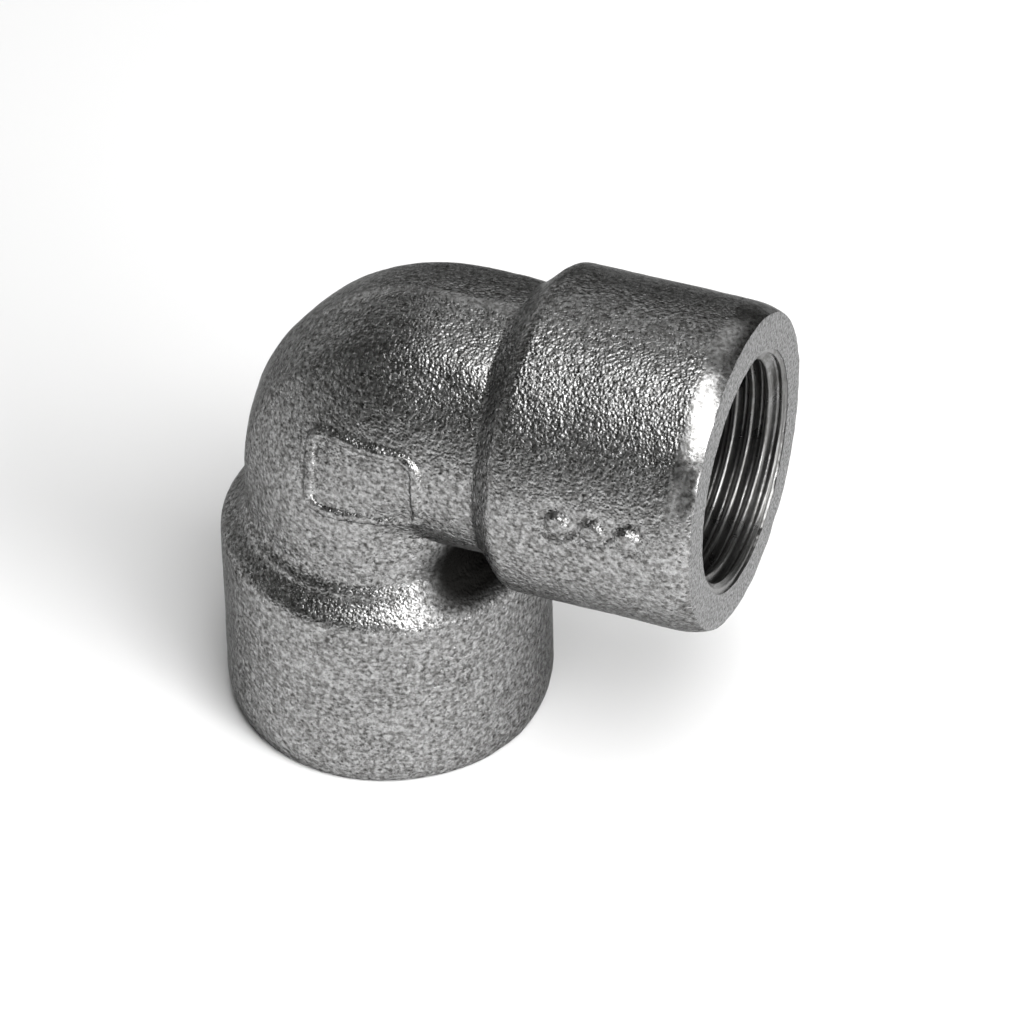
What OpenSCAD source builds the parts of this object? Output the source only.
// Forged steel 90 degree pipe elbow with two internally threaded sockets.
// The part is one forging. Its nodes are regions of that forging that meet face to face:
// the socket below, the bend, and the socket at the side.
// Origin: centre of the lower mouth. +Z runs up the lower socket, +X out of the side socket.

/* [Sockets] */
// Outside diameter of each socket
socket_d = 46; // [44:0.5:48]
// Distance from the crossing of the two port axes to each mouth
centre_to_mouth = 53; // [52:0.5:58]
// Length of each socket, from its mouth to the corner of its shoulder
socket_len = 28.5; // [27:0.5:29]
// Length of the crowned run-out of each socket at its mouth
crown_len = 4.5; // [3:0.5:6]
// How far the crown has come in where it reaches the mouth
crown_drop = 0.9; // [0.4:0.1:1.4]

/* [Bend] */
// Outside diameter of the bend
bend_d = 38; // [37:0.5:40]
// Radius of the bend's centre line
bend_centre_r = 12; // [10:0.5:13]
// Slope of each shoulder, measured from the port's axis
shoulder_angle = 45; // [40:1:50]
// Radius of the shoulder's convex edge
shoulder_round = 3; // [1:0.5:4]
// Radius of the hollow fillet where the shoulder runs into the bend
shoulder_fillet = 3; // [2:0.5:4]

/* [Thread] */
// Pitch of the parallel pipe thread, 11 threads to the inch
thread_pitch = 2.309; // [2.309]
// Diameter at the bottom of the thread grooves
thread_major_d = 33.249; // [33.249]
// Diameter over the thread crests
thread_minor_d = 30.291; // [30.291]
// Number of thread grooves in each socket
thread_grooves = 7; // [5:1:7]
// Depth of each tapped socket, from the mouth to the step
socket_depth = 21.5; // [20:0.5:23]
// Diameter of the countersink at each mouth
countersink_d = 33.6; // [33.4:0.2:35]

/* [Flow passage] */
// Diameter of the two drilled passages that meet in the bend
passage_d = 27; // [24:0.5:28]
// How far short of the crossing the full drill diameter stops
drill_stop_short = 4; // [3:0.5:6]
// Point angle of the drill
drill_point_angle = 118; // [110:1:130]

/* [Hidden] */
$fn = 96;
socket_r = socket_d / 2;
bend_r = bend_d / 2;
crest_r = thread_minor_d / 2;
root_r = thread_major_d / 2;
passage_r = passage_d / 2;
// the sloping stretch of the shoulder before its corners are rounded
shoulder_run = (socket_r - bend_r) / tan(shoulder_angle);
// one arc that leaves the side of the socket smoothly and comes in by crown_drop
crown_r = (crown_len * crown_len + crown_drop * crown_drop) / (2 * crown_drop);
convex_tangent = shoulder_round * tan(shoulder_angle / 2);
fillet_tangent = shoulder_fillet * tan(shoulder_angle / 2);
// distance from the mouth to the end of the fillet, where the socket region meets the bend region
region_len = socket_len + shoulder_run + fillet_tangent;
// Whitworth flanks: flats of one sixth of the pitch at crest and root
thread_flat = thread_pitch / 6;
countersink_depth = countersink_d / 2 - crest_r;
drill_len = centre_to_mouth - drill_stop_short;
drill_tip_len = passage_r / tan(drill_point_angle / 2);
steel = [0.47, 0.47, 0.46];
big = 4 * centre_to_mouth;
overlap = 0.01;

// Half outline of a socket: x is the distance from its axis, y the distance from its mouth
module socket_outline() {
    convex_y = socket_len - convex_tangent;
    fillet_y = region_len;
    crown_band = 2 * crown_drop;
    difference() {
        union() {
            difference() {
                polygon([
                    [0, 0],
                    [socket_r, 0],
                    [socket_r, convex_y],
                    [socket_r - shoulder_round * (1 - cos(shoulder_angle)),
                     convex_y + shoulder_round * sin(shoulder_angle)],
                    [bend_r + shoulder_fillet * (1 - cos(shoulder_angle)),
                     fillet_y - shoulder_fillet * sin(shoulder_angle)],
                    [bend_r, fillet_y],
                    [0, fillet_y]
                ]);
                translate([socket_r - crown_band, -overlap])
                    square([crown_band + overlap, crown_len + overlap]);
            }
            intersection() {
                translate([socket_r - crown_r, crown_len])
                    circle(r = crown_r);
                translate([socket_r - crown_band - overlap, 0])
                    square([crown_band + overlap, crown_len]);
            }
            translate([socket_r - shoulder_round, convex_y])
                circle(r = shoulder_round);
        }
        translate([bend_r + shoulder_fillet, fillet_y])
            circle(r = shoulder_fillet);
    }
}

// One ring groove of the thread, centred at height 0
module thread_groove() {
    crest_half = (thread_pitch - thread_flat) / 2;
    root_half = thread_flat / 2;
    rotate_extrude()
        polygon([
            [crest_r - 1, crest_half],
            [crest_r - 1, -crest_half],
            [crest_r, -crest_half],
            [root_r, -root_half],
            [root_r, root_half],
            [crest_r, crest_half]
        ]);
}

// Everything that is cut away along one port's axis, from its mouth inwards
module port_cut() {
    translate([0, 0, -1])
        cylinder(r = crest_r, h = socket_depth + 1);
    translate([0, 0, -overlap])
        cylinder(r1 = countersink_d / 2 + overlap, r2 = crest_r, h = countersink_depth + overlap);
    for (i = [0 : thread_grooves - 1])
        translate([0, 0, countersink_depth + (i + 0.5) * thread_pitch])
            thread_groove();
    cylinder(r = passage_r, h = drill_len);
    translate([0, 0, drill_len - overlap])
        cylinder(r1 = passage_r, r2 = 0, h = drill_tip_len);
}

// Turns a port's own axis from +Z to -X and moves its mouth to the side
module at_side() {
    translate([centre_to_mouth, 0, centre_to_mouth])
        rotate([0, -90, 0])
            children();
}

// The half of space on the lower socket's side of the mitre between the two ports
module lower_half() {
    translate([0, 0, centre_to_mouth])
        rotate([0, 45, 0])
            translate([-big / 2, -big / 2, -big])
                cube(big);
}

// The socket region of one port, along +Z from its mouth
module socket_region() {
    rotate_extrude()
        socket_outline();
}

// The skin of the bend: two straight stubs and the curved stretch between them
module bend_body() {
    start = region_len - 1;
    stub = centre_to_mouth - bend_centre_r - start;
    translate([0, 0, start])
        cylinder(r = bend_r, h = stub);
    translate([bend_centre_r, 0, centre_to_mouth])
        rotate([0, 90, 0])
            cylinder(r = bend_r, h = stub);
    translate([bend_centre_r, 0, centre_to_mouth - bend_centre_r])
        rotate([90, 0, 0])
            rotate_extrude(angle = 90, start = 90)
                intersection() {
                    translate([bend_centre_r, 0])
                        circle(r = bend_r);
                    translate([0, -bend_d])
                        square([2 * bend_d, 2 * bend_d]);
                }
}

// Socket whose mouth faces down, with its shoulder, bore and thread
module lower_socket() {
    color(steel)
        difference() {
            intersection() {
                socket_region();
                lower_half();
            }
            port_cut();
        }
}

// Curved stretch between the two shoulders, with the crossing of the two drilled passages
module bend() {
    color(steel)
        difference() {
            intersection() {
                bend_body();
                translate([centre_to_mouth - region_len - big, -big / 2, region_len])
                    cube(big);
            }
            port_cut();
            at_side()
                port_cut();
        }
}

// Socket whose mouth faces +X, with its shoulder, bore and thread
module side_socket() {
    color(steel)
        difference() {
            at_side()
                socket_region();
            lower_half();
            at_side()
                port_cut();
        }
}

lower_socket();
bend();
side_socket();
